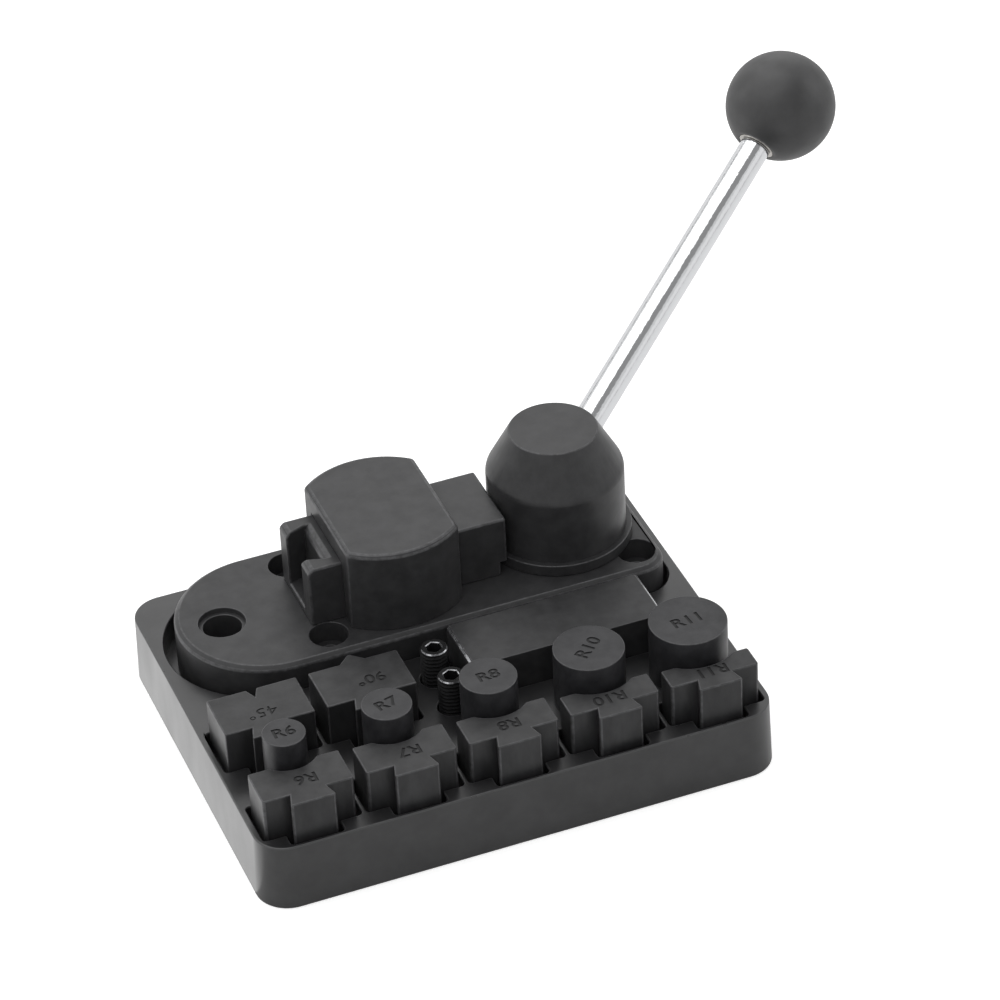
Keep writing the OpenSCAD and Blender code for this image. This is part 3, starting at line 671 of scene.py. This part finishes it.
# Set screws. Two headless hexagon socket screws, rolled, blackened and rubbed
# bright on their rims, standing in blind holes in the tray.
SCREWS = ["set_screw_back", "set_screw_front"]
SCREW_R = 4.0
SCREW_PITCH = 1.25
THREAD_DEPTH = 0.55
CREST_SHARE = 0.15  # of half a thread, which its flat crest takes up
RIM_BEVEL = 0.5
HEX_FLATS = 4.0
HEX_DEPTH = 4.0
HEX_BEVEL_WIDE = 0.25
HEX_BEVEL_DEEP = 0.2
SCREW_SIDES = 48
LEVELS_A_PITCH = 8


def threaded_screw(name, place, low_end, high_end):
    """Cuts the helical thread on a plain screw and sinks the hexagon in its top."""
    levels = round((high_end - low_end) / SCREW_PITCH * LEVELS_A_PITCH)
    shape = bmesh.new()
    rings = []
    for level in range(levels + 1):
        z = low_end + (high_end - low_end) * level / levels
        from_end = min(z - low_end, high_end - z)
        limit = SCREW_R - max(0.0, RIM_BEVEL - from_end)
        ring = []
        for step in range(SCREW_SIDES):
            angle = 2 * math.pi * step / SCREW_SIDES
            phase = ((z - low_end) / SCREW_PITCH - step / SCREW_SIDES) % 1.0
            height = max(0.0, abs(phase - 0.5) * 2 * (1 + CREST_SHARE) - CREST_SHARE)
            radius = min(limit, SCREW_R - THREAD_DEPTH * (1 - height))
            ring.append(shape.verts.new((radius * math.cos(angle) * MM,
                                         radius * math.sin(angle) * MM, z * MM)))
        rings.append(ring)
    for low, high in zip(rings, rings[1:]):
        for step in range(SCREW_SIDES):
            nxt = (step + 1) % SCREW_SIDES
            face = shape.faces.new((low[step], low[nxt], high[nxt], high[step]))
            face.material_index = 1 if high is rings[-1] or high is rings[-2] else 0
    shape.faces.new(list(reversed(rings[0])))
    rim = []
    hexagon = []
    floor = []
    for step in range(SCREW_SIDES):
        angle = 2 * math.pi * step / SCREW_SIDES
        inner = HEX_FLATS / 2 / math.cos((angle + math.pi / 6) % (math.pi / 3) - math.pi / 6)
        for ring, radius, z in ((rim, inner + HEX_BEVEL_WIDE, high_end),
                                (hexagon, inner, high_end - HEX_BEVEL_DEEP),
                                (floor, inner, high_end - HEX_DEPTH)):
            ring.append(shape.verts.new((radius * math.cos(angle) * MM,
                                         radius * math.sin(angle) * MM, z * MM)))
    for outer, inside in ((rings[-1], rim), (rim, hexagon), (hexagon, floor)):
        for step in range(SCREW_SIDES):
            nxt = (step + 1) % SCREW_SIDES
            face = shape.faces.new((outer[step], outer[nxt], inside[nxt], inside[step]))
            face.material_index = 1 if outer is rim else 0
    shape.faces.new(floor)
    bmesh.ops.recalc_face_normals(shape, faces=shape.faces)
    piece = new_piece(shape, name)
    piece.location = Vector((place[0], place[1], 0)) * MM
    return piece


def bright_rim():
    # The faced end of a screw, rubbed bright by the key.
    material, tree, shader = start_finish("rubbed screw end", "9b9c9f", 0.24, metallic=1.0)
    cloud(tree, shader, 1.1, "232324", "b9babd")
    vary(tree, shader, "Roughness", 1, 0.16, 0.40)
    return material


screw_end = bright_rim()
for node in SCREWS:
    low, high = corners(node)
    place = (high.x - SCREW_R, (low.y + high.y) / 2)
    screw = threaded_screw("threaded_" + node, place, low.z, high.z)
    coat(screw, screw_black, screw_end)
    fit(screw, node, node)


# Studio. A pale floor and white surroundings, large soft lights above and
# behind, two soft boxes at the sides that draw the edges of the black steel,
# and a small front light that lifts the gaps but isn't reflected.
CAMERA_AT = (-0.3310, -0.9825, 0.8359)
CAMERA_TURN = (-19.568, 36.322, -3.049)  # degrees round the object, above it, and of roll
LENS = 169.675
FLOOR_MIRRORED = 0.05  # glow of the floor in what reflects it
FLOOR_SEEN = 0.45  # glow that the camera sees on top of the lit paper, which makes it white
SKY_LIGHT = 0.50  # what the white surroundings give to matt surfaces
SKY_SEEN = 1.0
LIT_POINT = (0, 0, 0.03)  # metres, the middle of the machine


def pale_floor():
    # Matt white paper: takes the object's soft shadow and stays white round it.
    material, tree, shader = start_finish("pale paper", "f4f4f4", 0.95)
    shader.inputs["Specular IOR Level"].default_value = 0.0
    shader.inputs["Emission Color"].default_value = (1, 1, 1, 1)
    rays = add(tree, "LightPath")
    mirrored = add(tree, "Math", {}, {0: rays.outputs["Is Glossy Ray"],
                                      1: rays.outputs["Is Transmission Ray"]}, operation="ADD")
    mirrored = add(tree, "Math", {1: FLOOR_MIRRORED}, {0: mirrored.outputs[0]},
                   operation="MULTIPLY")
    seen = add(tree, "Math", {1: FLOOR_SEEN}, {0: rays.outputs["Is Camera Ray"]},
               operation="MULTIPLY")
    glow = add(tree, "Math", {}, {0: mirrored.outputs[0], 1: seen.outputs[0]}, operation="ADD")
    tree.links.new(glow.outputs[0], shader.inputs["Emission Strength"])
    return material


def flat_sheet(name, size, finish, segments):
    """Makes a flat sheet of the studio, which isn't part of the object."""
    shape = bmesh.new()
    bmesh.ops.create_grid(shape, x_segments=segments, y_segments=segments, size=0.5)
    bmesh.ops.scale(shape, verts=shape.verts, vec=(size[0], size[1], 1))
    sheet = new_piece(shape, name)
    coat(sheet, finish)
    return sheet


flat_sheet("floor", (8, 8), pale_floor(), 8)

world = bpy.data.worlds.new("studio")
bpy.context.scene.world = world
world.use_nodes = True
sky = world.node_tree
sky.nodes.clear()
rays = add(sky, "LightPath")
seen = add(sky, "Math", {}, {0: rays.outputs["Is Camera Ray"],
                             1: rays.outputs["Is Glossy Ray"]}, operation="ADD")
seen = add(sky, "Math", {}, {0: seen.outputs[0],
                             1: rays.outputs["Is Transmission Ray"]}, operation="ADD")
strength = add(sky, "MapRange", {"From Min": 0.0, "From Max": 1.0,
                                 "To Min": SKY_LIGHT, "To Max": SKY_SEEN},
               {"Value": seen.outputs[0]})
air = add(sky, "Background", {"Color": (1, 1, 1, 1)}, {"Strength": strength.outputs["Result"]})
add(sky, "OutputWorld", {}, {"Surface": air.outputs["Background"]})


def soft_box(name, place, size, brightness):
    """Hangs one soft box that faces the machine, its place and size in metres. With a
    brightness of 1 it looks white, as the sky does."""
    lamp = bpy.data.lights.new(name, "AREA")
    lamp.shape = "RECTANGLE"
    lamp.size, lamp.size_y = size
    lamp.energy = brightness * math.pi * size[0] * size[1]
    box = bpy.data.objects.new(name, lamp)
    bpy.context.scene.collection.objects.link(box)
    box.location = place
    box.rotation_euler = (Vector(LIT_POINT) - Vector(place)).to_track_quat("-Z", "Y").to_euler()
    return box


soft_box("overhead light", (-0.25, 0.15, 1.25), (1.5, 1.5), 1.15)
soft_box("back light", (0.35, 1.20, 0.95), (1.6, 1.0), 0.80)
soft_box("left light", (-1.00, 0.85, 0.55), (0.8, 0.6), 1.3)
soft_box("right light", (1.10, -0.20, 0.60), (0.6, 0.8), 1.0)
fill = soft_box("front fill", (-0.50, -1.40, 1.20), (1.0, 0.8), 2.2)
fill.visible_glossy = False


# Cards that only reflections see: two dim ones draw the dark lines along the
# chromed rod, a long one is the dimmer room behind the camera, and a bright one
# lies on the floor at the left, where it lights up the tray's side.
def card(name, place, faces, across, size, brightness):
    """Hangs one card at a place, facing a point, with its first side lying across."""
    finish, _, shader = start_finish(name, "000000", 1.0)
    shader.inputs["Specular IOR Level"].default_value = 0.0
    shader.inputs["Emission Color"].default_value = (1, 1, 1, 1)
    shader.inputs["Emission Strength"].default_value = brightness
    sheet = flat_sheet(name, size, finish, 1)
    way = (Vector(place) - Vector(faces)).normalized()
    along = way.cross(Vector(across)).normalized()
    sheet.rotation_euler = Matrix((along.cross(way), along, way)).transposed().to_euler()
    sheet.location = place
    sheet.visible_camera = False
    sheet.visible_diffuse = False
    sheet.visible_shadow = False


ROD_MIDDLE = (0.095, 0.060, 0.085)
card("right card", (0.295, -0.625, 0.922), ROD_MIDDLE, (0.41, -0.33, -0.85), (0.70, 1.5), 0.36)
card("left card", (-0.506, 1.191, 0.651), ROD_MIDDLE, (0.411, 0.285, -0.866), (0.10, 1.2), 0.15)
card("room", (-0.016, -1.864, 1.146), ROD_MIDDLE, (0.0, -0.48, -0.87), (0.8, 3.6), 0.80)
card("floor card", (-0.21, 0.13, 0.0003), (-0.21, 0.13, 1.0), (1, 0, 0), (0.28, 0.36), 1.7)

lens = bpy.data.cameras.new("camera")
lens.lens = LENS
lens.sensor_width = 36.0
lens.clip_start, lens.clip_end = 0.05, 20.0
camera = bpy.data.objects.new("camera", lens)
bpy.context.scene.collection.objects.link(camera)
round_z, above, roll = (math.radians(angle) for angle in CAMERA_TURN)
camera.location = CAMERA_AT
camera.rotation_euler = (Matrix.Rotation(round_z, 3, "Z")
                         @ Matrix.Rotation(math.pi / 2 - above, 3, "X")
                         @ Matrix.Rotation(roll, 3, "Z")).to_euler()
bpy.context.scene.camera = camera
bpy.context.scene.view_settings.view_transform = "Standard"

bpy.context.view_layer.update()
